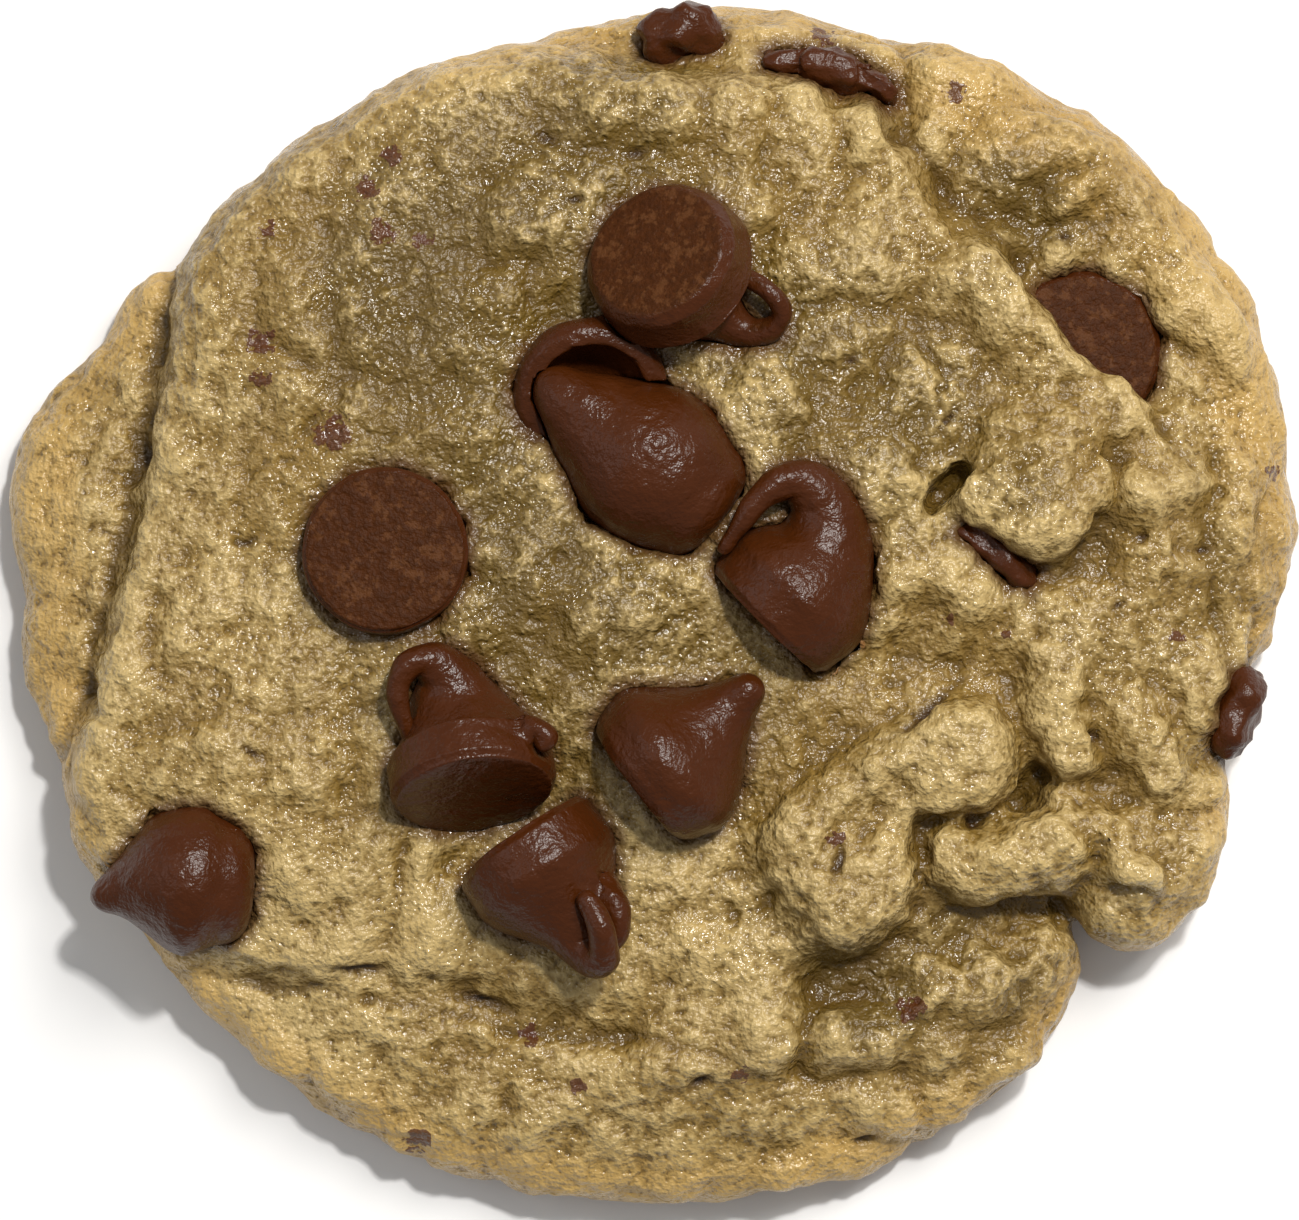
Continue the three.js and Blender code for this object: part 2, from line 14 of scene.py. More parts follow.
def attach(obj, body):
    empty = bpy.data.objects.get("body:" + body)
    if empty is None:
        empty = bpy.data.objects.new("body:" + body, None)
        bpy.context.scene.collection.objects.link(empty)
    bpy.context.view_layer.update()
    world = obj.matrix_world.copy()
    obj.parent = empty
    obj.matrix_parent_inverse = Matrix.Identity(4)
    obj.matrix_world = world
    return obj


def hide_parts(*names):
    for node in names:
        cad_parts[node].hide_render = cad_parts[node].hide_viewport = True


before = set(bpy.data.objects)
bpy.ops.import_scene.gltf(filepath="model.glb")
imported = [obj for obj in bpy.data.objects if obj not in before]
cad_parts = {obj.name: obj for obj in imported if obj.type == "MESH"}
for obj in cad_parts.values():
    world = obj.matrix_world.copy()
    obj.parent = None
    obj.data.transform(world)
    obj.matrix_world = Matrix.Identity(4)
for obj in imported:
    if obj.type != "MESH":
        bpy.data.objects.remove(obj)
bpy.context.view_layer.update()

bl_info = {
    "name": "Chocolate chip cookie",
    "version": (1, 0, 0),
    "blender": (4, 5, 0),
    "location": "View3D > Sidebar > Cookie",
    "description": "Builds a soft-baked chocolate chip cookie and a plain studio",
    "category": "Object",
}

MM = 0.001
SEED = 11

# From how far away the dough is drawn up to the chocolate, the gap that is left between them, and how far
# the dough beside the chocolate is darkened, partly as chocolate staining and partly as painted shade.
TOUCH_REACH = 0.9 * MM
TOUCH_GAP = 0.04 * MM
STAIN_AND_SHADE_REACH = 1.5 * MM

# How high the flat foot of the dough reaches, and between which heights its sides turn rough.
FOOT_HEIGHT = 0.3 * MM
ROUGH_FROM = 0.8 * MM
ROUGH_FULLY = 2.8 * MM

# The browned rim starts and is full at these distances from the middle, in millimetres, and the cookie is
# this much wider than deep.
RIM_START = 34.5
RIM_FULL = 38
WIDER_THAN_DEEP = 1.07

# Grains and burst bubbles: smallest and largest radius and greatest height, in millimetres. A bubble's
# greatest depth is a share of its radius. The least height or depth is a share of the greatest.
GRAIN_RADII = (0.5, 1.15)
GRAIN_HEIGHT = 0.17
PIT_RADII = (0.35, 0.7)
PIT_DEPTH = 0.6
LEAST_SHARE = 0.3

# Depth of the small holes, in millimetres, and the share of the creases' depth that is carved.
HOLE_DEPTH = 0.7
CREASE_SHARE = 0.8

# How many rounds of smoothing tell the crests from their near neighbours and the hollows from the land
# around them, where light is painted on the crests and shade in the hollows.
CREST_PASSES = 12
HOLLOW_PASSES = 150

# Which way the bare, flat base faces on the chips that show it.
FLAT_BASES = {
    "chip_disc_top": (-0.37, 0.37, 0.85),
    "chip_disc_left": (-0.02, 0.05, 1.0),
    "chip_disc_right": (0.13, 0.07, 0.99),
}

# Flecks of chocolate in the crust: x, y and size across, in millimetres.
FLECKS = (
    (-16.4, 22.9, 1.5), (-17.3, 25.6, 1.3), (-15.8, 27.8, 1.3), (-14.0, 22.6, 1.1), (-19.5, 10.7, 2.2),
    (-23.8, 14.2, 1.2), (-23.8, 16.3, 1.5), (-23.5, 23.1, 0.9), (19.0, 31.8, 1.3), (16.2, -25.0, 1.7),
    (-4.4, -29.6, 1.0), (5.5, -28.8, 1.0), (-14.5, -33.1, 1.4), (18.6, -0.9, 0.8), (22.0, -1.6, 0.6),
    (11.4, -14.4, 1.0), (32.5, -1.9, 1.0), (-7.4, -26.4, 1.2), (10.7, 35.3, 1.2), (38.6, 8.4, 0.8),
)

# Where the crust is paler, above 0, or darker, below 0, partly from baking and moistness and partly as
# painted light and shade, with the sunken middle and the land under folds darker: x, y and reach in
# millimetres, and the amount.
TONES = (
    (-7, 1, 13, -0.75), (14, 12, 8, -0.6), (5, 20, 7, -0.4), (-2, 30, 8, -0.55), (24, 26, 5, -0.9),
    (37, 3, 5, -0.45), (29, -3, 5, -0.25), (10, -8, 4, -0.3), (13, -24, 4, -1.0), (19, -19, 3, -0.35),
    (-14, 20, 10, -0.75), (34, 20, 6, 0.2), (-37, 4, 6, 0.5), (23.5, 7.5, 3.5, -0.4), (19.5, -7.5, 4, -0.1),
    (9, -18, 4, -0.2), (22, -15, 4, 0.3), (31, -14, 5, 0.1), (-26, -25, 8, 0.9), (-29, 0, 5, 0.15),
    (2, -33, 9, 0.25), (23, -25, 5, -0.6),
)

# Where the skin stayed smooth: x, y and reach, in millimetres.
SMOOTH_SKIN = ((18, -14, 11), (22, 7, 8), (29, -8, 8), (-37, 4, 8))

# Small holes and cracks, carved and filled with painted shade: x, y, length and width in millimetres, and
# the way they run in degrees.
CRACKS = (
    (11.6, -15.6, 1.5, 0.6, 75), (20.1, -13.2, 0.9, 0.5, 0), (16.9, -6.3, 4.4, 0.5, 38),
    (27.5, -8.0, 1.1, 0.5, -60), (-24.8, 4.0, 1.2, 0.4, 10), (-24.5, -8.9, 1.6, 0.4, -40),
    (3.2, -29.4, 1.4, 0.6, 30), (-0.9, 27.8, 1.2, 0.6, 0), (-4.6, 25.0, 0.9, 0.5, 0),
    (12.4, 15.2, 0.8, 0.5, 0), (25.6, 22.8, 1.0, 0.5, -10), (18.4, 11.6, 1.6, 0.4, 50),
    (-6.4, 28.8, 1.6, 0.5, -30), (13.6, -33.4, 1.3, 0.7, 20), (34.2, 3.5, 0.8, 0.5, 0),
    (30.2, 4.2, 0.9, 0.5, 30), (-31.4, 9.4, 1.2, 0.5, 70), (28.8, 0.2, 0.8, 0.4, 20),
    (-18.0, -22.4, 3.0, 0.5, -8), (-10.4, -24.4, 2.6, 0.5, -16),
)

# Creases in the crust, in millimetres: the points that each one runs through, then all with depth and width.
# The depth of each one also sets how dark the painted shade down in it is.
LEFT_FOLD = (
    (-29.4, 21.0), (-30.4, 16.7), (-30.8, 13.5), (-31.9, 8.5), (-33.0, 2.8), (-34.4, -2.9), (-36.2, -10.4),
)
TOP_EDGE = ((9.4, 32.9), (12.7, 31.4), (15.3, 29.4), (18.2, 25.8), (20.7, 23.4), (22.5, 21.3))
RIGHT_EDGE = ((31.6, 11.6), (33.4, 8.0), (34.4, 3.0), (35.0, -0.5), (35.4, -4.0))
UNDER_FOLDS = ((11.9, -22.7), (16.0, -20.2), (18.4, -18.7), (21.0, -18.6), (24.2, -17.8), (25.9, -18.7))
FRONT_LEFT = ((-33.0, -19.4), (-29.9, -22.8), (-24.0, -23.4), (-16.0, -24.5), (-7.8, -26.0), (0.4, -27.0))
FRONT_RIGHT = ((0.4, -27.0), (5.3, -27.6), (9.6, -26.2), (11.0, -24.3), (13.0, -23.5))
BETWEEN_FOLDS = ((16.4, -12.7), (16.9, -15.2), (16.5, -18.5))
RIGHT_FLANK = ((28.4, 12.4), (29.0, 9.4), (28.6, 6.0), (26.0, 2.4), (24.0, 0.6), (23.8, -2.0))
BEHIND_CHIPS = ((-8.0, 21.0), (-6.6, 17.4), (-9.6, 12.0), (-8.6, 8.6))
CREASES = (
    (0.35, 0.5, LEFT_FOLD), (0.4, 0.45, TOP_EDGE), (0.3, 0.45, RIGHT_EDGE), (0.3, 0.4, UNDER_FOLDS),
    (0.3, 0.45, FRONT_LEFT), (0.3, 0.45, FRONT_RIGHT), (0.3, 0.4, BETWEEN_FOLDS), (0.3, 0.4, RIGHT_FLANK),
    (0.2, 0.5, BEHIND_CHIPS),
)

# The camera looks straight down on this spot, and its span is measured at this height.
CAMERA_SPOT = (0.0, -0.2 * MM)
SPAN_HEIGHT = 5 * MM

# Large odd numbers that scramble whole numbers, and the mask that keeps 32 bits of them.
SCRAMBLE = (374761393, 668265263, 1440662683, 1274126177)
SCRAMBLE_AGAIN = 1103515245
LOW_32 = 0xFFFFFFFF


# Settings

class COOKIE_PG_dough(bpy.types.PropertyGroup):
    """Sizes and colours of the baked dough."""

    cell: FloatProperty(
        name="Cell", description="Spacing of the dough's mesh", default=0.00034,
        unit="LENGTH", subtype="DISTANCE",
    )
    smoothing: IntProperty(name="Smoothing", description="Passes that round the facets away", default=6)
    lump: FloatProperty(
        name="Lumps", description="Height of the soft lumps", default=0.00055,
        unit="LENGTH", subtype="DISTANCE",
    )
    crumb: FloatProperty(
        name="Crumb", description="Height of the crumb's roughness", default=0.00017,
        unit="LENGTH", subtype="DISTANCE",
    )
    grains: IntProperty(name="Grains", description="How many grains stand out of the crust", default=2000)
    pits: IntProperty(name="Pits", description="How many bubbles burst through the crust", default=420)
    crust: FloatVectorProperty(
        name="Crust", description="Colour of the top", default=(0.215, 0.129, 0.028),
        size=3, subtype="COLOR",
    )
    # Partly the crumb's own paler grains, partly painted light on the crests and raised grains.
    pale: FloatVectorProperty(
        name="Pale", description="Colour of the crests", default=(0.500, 0.362, 0.148),
        size=3, subtype="COLOR",
    )
    # Partly the moister middle's own colour, partly painted shade in the sunken middle and under folds.
    moist_and_shade: FloatVectorProperty(
        name="Moist", description="Colour of the moist middle", default=(0.112, 0.066, 0.010),
        size=3, subtype="COLOR",
    )
    golden: FloatVectorProperty(
        name="Golden", description="Colour of the browned rim", default=(0.50, 0.305, 0.085),
        size=3, subtype="COLOR",
    )
    # Painted shade: the colour laid down in creases, hollows and sunken land, where shade falls.
    crease_and_shade: FloatVectorProperty(
        name="Crease", description="Colour down in the creases", default=(0.085, 0.046, 0.007),
        size=3, subtype="COLOR",
    )
    # Partly chocolate run into the dough, partly painted shade where the dough meets the chips.
    stain_and_shade: FloatVectorProperty(
        name="Stain", description="Colour where chocolate has run into the dough",
        default=(0.075, 0.030, 0.009), size=3, subtype="COLOR",
    )
    underside: FloatVectorProperty(
        name="Underside", description="Colour baked by the tray", default=(0.26, 0.12, 0.036),
        size=3, subtype="COLOR",
    )
    fleck: FloatVectorProperty(
        name="Flecks", description="Colour of the flecks of chocolate", default=(0.075, 0.018, 0.005),
        size=3, subtype="COLOR",
    )
    # Painted shade: the near-black laid down in the holes and cracks, where shade falls.
    hole_and_shade: FloatVectorProperty(
        name="Holes", description="Colour down in the holes and cracks", default=(0.03, 0.011, 0.004),
        size=3, subtype="COLOR",
    )


class COOKIE_PG_chocolate(bpy.types.PropertyGroup):
    """Sizes and colours of the chocolate."""

    levels: IntProperty(name="Levels", description="How finely the chips are rounded", default=2)
    wrinkle: FloatProperty(
        name="Wrinkles", description="Height of the melted skin's wrinkles", default=0.0001,
        unit="LENGTH", subtype="DISTANCE",
    )
    melted: FloatVectorProperty(
        name="Melted", description="Colour of the glossy flanks", default=(0.044, 0.0104, 0.0015),
        size=3, subtype="COLOR",
    )
    matte: FloatVectorProperty(
        name="Matte", description="Colour of the dry flat bases", default=(0.053, 0.0145, 0.0020),
        size=3, subtype="COLOR",
    )
    dust: FloatVectorProperty(
        name="Dust", description="Colour of the crumbs' dust on the flat bases",
        default=(0.13, 0.05, 0.016), size=3, subtype="COLOR",
    )


class COOKIE_PG_studio(bpy.types.PropertyGroup):
    """The plain studio."""

    distance: FloatProperty(
        name="Distance", description="Camera above the surface", default=0.5,
        unit="LENGTH", subtype="DISTANCE",
    )
    span: FloatProperty(
        name="Span", description="Width that the picture covers", default=0.0807,
        unit="LENGTH", subtype="DISTANCE",
    )
    floor: FloatVectorProperty(
        name="Floor", description="Colour of the surface", default=(0.86, 0.86, 0.86),
        size=3, subtype="COLOR",
    )
    key: FloatProperty(name="Key", description="Power of the main light", default=2.35, unit="POWER")
    lamp: FloatProperty(name="Lamp", description="Power of the small light", default=2.1, unit="POWER")
    fill: FloatProperty(name="Fill", description="Strength of the light from all round", default=0.30)


# Meshes as arrays

def points_of(mesh):
    """The mesh's points as rows of x, y, z."""
    flat = np.empty(len(mesh.vertices) * 3)
    mesh.vertices.foreach_get("co", flat)
    return flat.reshape(-1, 3)


def normals_of(mesh):
    """The direction out of the skin at each point."""
    flat = np.empty(len(mesh.vertices) * 3)
    mesh.vertex_normals.foreach_get("vector", flat)
    return flat.reshape(-1, 3)


def set_points(mesh, points):
    """Moves the mesh's points to these rows."""
    mesh.vertices.foreach_set("co", points.ravel())
    mesh.update()


def smoothed(mesh, values, passes):
    """Values at the points, each drawn halfway to its neighbours' mean this many times."""
    ends = np.empty(len(mesh.edges) * 2, dtype=np.int64)
    mesh.edges.foreach_get("vertices", ends)
    first, second = ends.reshape(-1, 2).T
    count = len(mesh.vertices)
    neighbours = np.maximum(np.bincount(ends, minlength=count), 1)
    columns = values.reshape(count, -1).copy()
    for _ in range(passes):
        for column in columns.T:
            total = np.bincount(first, column[second], count) + np.bincount(second, column[first], count)
            column += 0.5 * (total / neighbours - column)
    return columns.reshape(values.shape)


def fade(values, start, end):
    """0 up to start, 1 from end on, and in proportion between them."""
    return np.clip((values - start) / (end - start), 0, 1)


def away_from(points, x, y):
    """How far each point is from this spot, seen from above, in millimetres."""
    return np.hypot(points[:, 0] / MM - x, points[:, 1] / MM - y)


def lattice(cell, seed):
    """A number from -1 to 1 that is always the same for the same whole cell and seed."""
    x, y, z = (cell.astype(np.int64) & LOW_32).T
    mixed = (x * SCRAMBLE[0] + y * SCRAMBLE[1] + z * SCRAMBLE[2] + seed * SCRAMBLE[3]) & LOW_32
    mixed = ((mixed ^ (mixed >> 13)) * SCRAMBLE_AGAIN) & LOW_32
    return ((mixed >> 8) & 0xFFFF) / 32767.5 - 1


def noise(points, size, number):
    """Smooth unevenness from -1 to 1, with swells of this size in millimetres and a pattern of its own."""
    seed = SEED + number
    turn, _ = np.linalg.qr(np.random.default_rng(seed).normal(size=(3, 3)))
    scaled = points @ turn / (size * MM)
    cell = np.floor(scaled)
    ease = (scaled - cell) ** 2 * (3 - 2 * (scaled - cell))
    total = 0
    for corner in np.ndindex(2, 2, 2):
        share = np.prod(np.where(corner, ease, 1 - ease), axis=1)
        total = total + share * lattice(cell + corner, seed)
    return total


def store(mesh, name, values):
    """Keeps a value at each point for the material to use."""
    layer = mesh.attributes.new(name, "FLOAT", "POINT")
    layer.data.foreach_set("value", values.astype(np.float32))


def solid_copy(name):
    """A closed copy of a CAD solid's mesh, where the frame has it."""
    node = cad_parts[name]
    copy = bmesh.new()
    copy.from_mesh(node.data)
    copy.transform(node.matrix_world)
    bmesh.ops.remove_doubles(copy, verts=copy.verts, dist=1e-7)
    return copy


def as_object(shape, name):
    """Puts a bmesh in the scene as an object."""
    mesh = bpy.data.meshes.new(name)
    shape.to_mesh(mesh)
    shape.free()
    piece = bpy.data.objects.new(name, mesh)
    bpy.context.scene.collection.objects.link(piece)
    return piece


def settle(piece):
    """Replaces the object's mesh by what its modifiers make of it."""
    made = bpy.data.meshes.new_from_object(piece.evaluated_get(bpy.context.evaluated_depsgraph_get()))
    old = piece.data
    piece.modifiers.clear()
    piece.data = made
    bpy.data.meshes.remove(old)


def finish_piece(piece, nodes, material):
    """Gives the piece its material, hangs it under the root, and hides the solids that it stands for."""
    piece.data.materials.clear()
    piece.data.materials.append(material)
    piece.data.shade_smooth()
    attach(piece, "root")
    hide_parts(*nodes)


# Materials

class Wire:
    """An output of a shader node. Sums with it add the nodes that work them out."""

    def __init__(self, graph, socket):
        self.graph = graph
        self.socket = socket

    def math(self, operation, *others):
        """A Math node on this and the other values, in order."""
        return self.graph.node("ShaderNodeMath", dict(enumerate((self, *others))), operation=operation)

    def __add__(self, other):
        return self.math("ADD", other)

    def __sub__(self, other):
        return self.math("SUBTRACT", other)

    def __rsub__(self, other):
        return (self * -1) + other

    def __mul__(self, other):
        return self.math("MULTIPLY", other)

    def ramp(self, low, high):
        """0 below low, 1 above high, and smooth between them."""
        inputs = {"Value": self, "From Min": low, "From Max": high}
        return self.graph.node("ShaderNodeMapRange", inputs, interpolation_type="SMOOTHSTEP")

    def blend(self, without, full):
        """The colour without at 0, and full at 1."""
        inputs = {"Factor": self, "A": without, "B": full}
        return self.graph.node("ShaderNodeMix", inputs, "Result", data_type="RGBA")


def socket_in_use(sockets, key):
    """The enabled socket with this place in the row, or with this name."""
    used = [socket for socket in sockets if socket.enabled]
    return used[key] if isinstance(key, int) else next(socket for socket in used if socket.name == key)


class Graph:
    """The node tree of a new material."""

    def __init__(self, name):
        self.material = bpy.data.materials.new(name)
        self.material.use_nodes = True
        self.tree = self.material.node_tree
        self.surface = self.tree.nodes["Principled BSDF"]
        self.place = self.node("ShaderNodeTexCoord", {}, "Object")

    def node(self, kind, inputs, output=0, **settings):
        """Adds a node, sets it up, and returns one of its outputs."""
        made = self.tree.nodes.new(kind)
        for key, value in settings.items():
            setattr(made, key, value)
        for key, value in inputs.items():
            self.feed(made, key, value)
        return Wire(self, socket_in_use(made.outputs, output))

    def feed(self, node, key, value):
        """Links a wire to a node's input, or sets the input to a value."""
        socket = socket_in_use(node.inputs, key)
        if isinstance(value, Wire):
            self.tree.links.new(value.socket, socket)
        elif socket.type == "RGBA":
            socket.default_value = (*value[:3], 1.0)
        else:
            socket.default_value = value

    def stored(self, name):
        """A value kept at the mesh's points."""
        return self.node("ShaderNodeAttribute", {}, "Fac", attribute_name=name)

    def speckle(self, size, detail, rough):
        """Cloudy noise from 0 to 1 with blotches of this size, in millimetres."""
        inputs = {"Vector": self.place, "Scale": 1 / (size * MM), "Detail": detail, "Roughness": rough}
        return self.node("ShaderNodeTexNoise", inputs, "Fac")

    def bump(self, height, strength, distance):
        """The skin's direction when height stands out of it, by at most this distance in millimetres."""
        inputs = {"Strength": strength, "Distance": distance * MM, "Height": height}
        return self.node("ShaderNodeBump", inputs, "Normal")

    def cover(self, share, **inputs):
        """Lays a second surface over the first, by this share of it."""
        inputs = {key.replace("_", " "): value for key, value in inputs.items()}
        second = self.node("ShaderNodeBsdfPrincipled", inputs)
        first = Wire(self, self.surface.outputs["BSDF"])
        both = self.node("ShaderNodeMixShader", {0: share, 1: first, 2: second})
        self.tree.links.new(both.socket, self.tree.nodes["Material Output"].inputs["Surface"])

    def finish(self, **inputs):
        """Feeds the first surface, by the names of its inputs with low lines for spaces."""
        for key, value in inputs.items():
            self.feed(self.surface, key.replace("_", " "), value)
        return self.material


def shade(colour, amount):
    """The colour made lighter, above 1, or darker, below 1."""
    return tuple(amount * part for part in colour)


def dough_material(look):
    """Baked dough: paler crests and darker hollows as painted light and shade, a middle darkened partly by
    moistness and partly by painted shade, golden rim, painted shade in the creases and holes, and a little
    grease that glints.
    """
    graph = Graph("baked dough")
    crest_light_and_shade = graph.stored("crest_light_and_shade")
    patches = graph.stored("patches")
    tone = graph.stored("tone")
    fine = graph.speckle(0.9, 3.0, 0.6)
    grain = graph.speckle(0.4, 1.0, 0.5)

    # Darker in the middle and under folds: partly moistness, partly painted shade.
    moist_and_shade = (patches * 0.25 - tone).ramp(0.0, 0.8)
    colour = moist_and_shade.blend(look.crust, look.moist_and_shade)
    # The grain noise also sets the bump's height, so raised grains turn paler and low ones darker: partly
    # the crumb's own speckle, partly painted light and shade.
    speckled = (fine - 0.5) * 2.4 + (grain - 0.5) * 2.0
    pale = (tone * 0.8 + patches * 0.4 + speckled + crest_light_and_shade * 0.8 + 0.32).ramp(-0.3, 1.5)
    colour = pale.blend(colour, look.pale)
    rim = (graph.stored("rim") + patches * 0.3 + (fine - 0.5) * 0.8).ramp(0.2, 1.1)
    colour = (rim * 0.6).blend(colour, look.golden)

    pores = (0.42 - grain).ramp(0.0, 0.14)
    # Painted shade: darker in the low spots of the grain and pores, in the hollows between crests, down in
    # the creases and in sunken land.
    hollow_shade = ((0.5 - fine) * 2.8 + pores * 0.9 - patches * 0.2 - crest_light_and_shade * 0.8 - 0.15).ramp(0.0, 1.1)
    colour = (hollow_shade * 0.7).blend(colour, look.crease_and_shade)
    sunk = (graph.stored("deep") * 0.42 + graph.stored("crease_and_shade") * (fine * 1.5 + 0.5)).ramp(0.0, 1.0)
    colour = sunk.blend(colour, look.crease_and_shade)

    # Darker beside the chips: partly chocolate staining, partly painted shade.
    stain_and_shade = (graph.stored("stain_and_shade") * (fine * 1.2 + 0.4)).ramp(0.1, 0.9)
    colour = (stain_and_shade * 0.9).blend(colour, look.stain_and_shade)
    colour = graph.stored("under").blend(colour, look.underside)
    near_fleck = graph.stored("fleck")
    ragged = near_fleck + (fine - 0.5) * 2.6 + (grain - 0.5) * 1.0
    fleck = (ragged * near_fleck.ramp(0.0, 0.1)).ramp(0.3, 0.45)
    colour = (fleck * 0.9).blend(colour, look.fleck)
    # Painted shade down in the holes and cracks.
    colour = (graph.stored("hole_and_shade") * 0.9).blend(colour, look.hole_and_shade)

    return graph.finish(
        Base_Color=colour,
        Roughness=graph.stored("grease") * -0.26 + 0.4,
        Specular_IOR_Level=0.5,
        Normal=graph.bump(fine * 0.7 + grain * 0.45, strength=1.0, distance=0.55),
    )


def chocolate_material(look):
    """Melted and set chocolate: glossy, finely wrinkled flanks and dry, crumb-dusted flat bases."""
    graph = Graph("chocolate")
    flat = graph.stored("flat")
    haze = graph.speckle(2.4, 2.0, 0.5)
    fine = graph.speckle(0.4, 2.0, 0.6)
    crinkle = graph.speckle(0.9, 3.0, 0.62)
    dust = graph.speckle(1.1, 3.0, 0.75).ramp(0.5, 0.62) * flat

    colour = (haze * 0.7).blend(look.melted, shade(look.melted, 1.6))
    colour = flat.blend(colour, look.matte)
    mottled = flat * (fine - 0.3).ramp(0.0, 0.4)
    colour = (mottled * 0.6).blend(colour, shade(look.matte, 0.55))
    colour = (dust * 0.4).blend(colour, look.dust)

    height = crinkle * (flat * -0.5 + 1) + fine * (flat * 0.75 + 0.25)
    bump = graph.bump(height, strength=0.8, distance=0.25)
    graph.cover(flat, Base_Color=colour, Roughness=0.55, Specular_IOR_Level=0.09, Normal=bump)
    return graph.finish(
        Base_Color=colour,
        Roughness=(haze - 0.5) * 0.24 + 0.3,
        Specular_IOR_Level=0.25,
        Normal=bump,
    )


def plain_material(name, colour, roughness):
    """One even colour."""
    return Graph(name).finish(Base_Color=colour, Roughness=roughness)


# The dough

def even_dough(look):
    """The CAD dough with an even mesh, and its facets rounded away."""
    piece = as_object(solid_copy("dough"), "baked_dough")
    remesh = piece.modifiers.new("Even mesh", "REMESH")
    remesh.mode = "VOXEL"
    remesh.voxel_size = look.cell * 1
    settle(piece)
    start = points_of(piece.data)
    points = smoothed(piece.data, start, look.smoothing)
    resting = start[:, 2] < FOOT_HEIGHT
    points[resting, 2] = np.maximum(start[resting, 2], 0)
    set_points(piece.data, points)
    return piece


def lumps_at(points):
    """How high the soft lumps stand at each point, from about -1 to 2. They are strongest on the right."""
    bend = MM * np.stack([noise(points, 2.8, 5 + axis) for axis in range(3)], axis=1)
    lumps = 2.2 * np.abs(noise(points + bend, 4.2, 0)) - 0.7 + 0.5 * noise(points, 2.2, 1)
    lumps *= 0.7 + 0.5 * fade(points[:, 0] / MM, 2, 12)
    for x, y, reach in SMOOTH_SKIN:
        lumps *= 1 - 0.7 * fade(away_from(points, x, y), reach, reach - 4)
    return lumps


def dimples(points, centres, radii, heights):
    """How far rounded grains and pits move each point out of the skin."""
    tree = KDTree(len(points))
    for index, point in enumerate(points):
        tree.insert(point, index)
    tree.balance()
    shift = np.zeros(len(points))
    for centre, radius, height in zip(centres, radii, heights):
        for _, index, away in tree.find_range(centre, radius):
            shift[index] += height * (1 - (away / radius) ** 2) ** 2
    return shift


def grains_and_pits(points, top, look):
    """How far grains and burst bubbles, strewn over the points in top, move each point out of the skin."""
    rng = np.random.default_rng(SEED)
    spots = rng.choice(top, look.grains + look.pits)
    count = len(spots)
    is_grain = np.arange(count) < look.grains
    grain_radii = rng.uniform(*GRAIN_RADII, count)
    pit_radii = rng.uniform(*PIT_RADII, count)
    radii = np.where(is_grain, grain_radii, pit_radii)
    grain_heights = GRAIN_HEIGHT * rng.uniform(LEAST_SHARE, 1, count)
    pit_heights = -PIT_DEPTH * radii * rng.uniform(LEAST_SHARE, 1, count)
    heights = np.where(is_grain, grain_heights, pit_heights)
    return dimples(points, points[spots], radii * MM, heights * MM)


def hole_depth(points):
    """From 0 to 1, how deep each point lies in one of the holes and cracks."""
    depth = np.zeros(len(points))
    for x, y, length, width, degrees in CRACKS:
        turn = math.radians(degrees)
        right = points[:, 0] / MM - x
        back = points[:, 1] / MM - y
        along = (right * math.cos(turn) + back * math.sin(turn)) / length
        across = (back * math.cos(turn) - right * math.sin(turn)) / width
        depth = np.maximum(depth, np.exp(-4 * (along**2 + across**2)))
    return depth


def crease_depth(points):
    """How deep each point lies in one of the creases, in millimetres. The creases wander a little."""
    depth = np.zeros(len(points))
    wander = 0.5 * np.stack([noise(points, 2, 50), noise(points, 2, 51)], axis=1)
    place = points[:, :2] / MM + wander
    for deep, width, route in CREASES:
        for start, end in zip(np.array(route[:-1]), np.array(route[1:])):
            run = end - start
            share = np.clip((place - start) @ run / (run @ run), 0, 1)
            away = np.linalg.norm(place - start - share[:, None] * run, axis=1)
            depth = np.maximum(depth, deep * np.exp(-((away / width) ** 2)))
    return depth


def fleck_share(points):
    """From 0 to 1, how near each point is to the middle of a fleck of chocolate."""
    share = np.zeros(len(points))
    for x, y, size in FLECKS:
        share = np.maximum(share, np.clip(1 - away_from(points, x, y) / (0.75 * size), 0, 1))
    return share


def tone_at(points):
    """How much paler, above 0, or darker, below 0, the crust is at each point, from baking and moistness and
    from painted light and shade.
    """
    tone = np.zeros(len(points))
    for x, y, reach, amount in TONES:
        tone += amount * np.exp(-((away_from(points, x, y) / reach) ** 2))
    return tone


def nearest_chocolate(points, reach):
    """The nearest spot on the chocolate to each point, and how far away it is, up to this reach."""
    spots = points.copy()
    distances = np.full(len(points), reach)
    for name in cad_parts:
        if name == "dough":
            continue
        shape = solid_copy(name)
        tree = BVHTree.FromBMesh(shape)
        corners = np.array([vertex.co for vertex in shape.verts])
        shape.free()
        low = corners.min(axis=0) - reach
        high = corners.max(axis=0) + reach
        beside = np.all((points > low) & (points < high), axis=1)
        for index in np.flatnonzero(beside):
            spot, _, _, away = tree.find_nearest(Vector(points[index]), distances[index])
            if spot is not None:
                spots[index] = spot
                distances[index] = away
    return spots, distances


def touch_chocolate(points):
    """Draws the points beside the chocolate up to it, and leaves a thin gap."""
    spots, distances = nearest_chocolate(points, TOUCH_REACH)
    kept_gap = 1 - TOUCH_GAP / np.maximum(distances, TOUCH_GAP)
    pull = np.clip(2 - 2 * distances / TOUCH_REACH, 0, 1) * kept_gap
    return points + pull[:, None] * (spots - points)


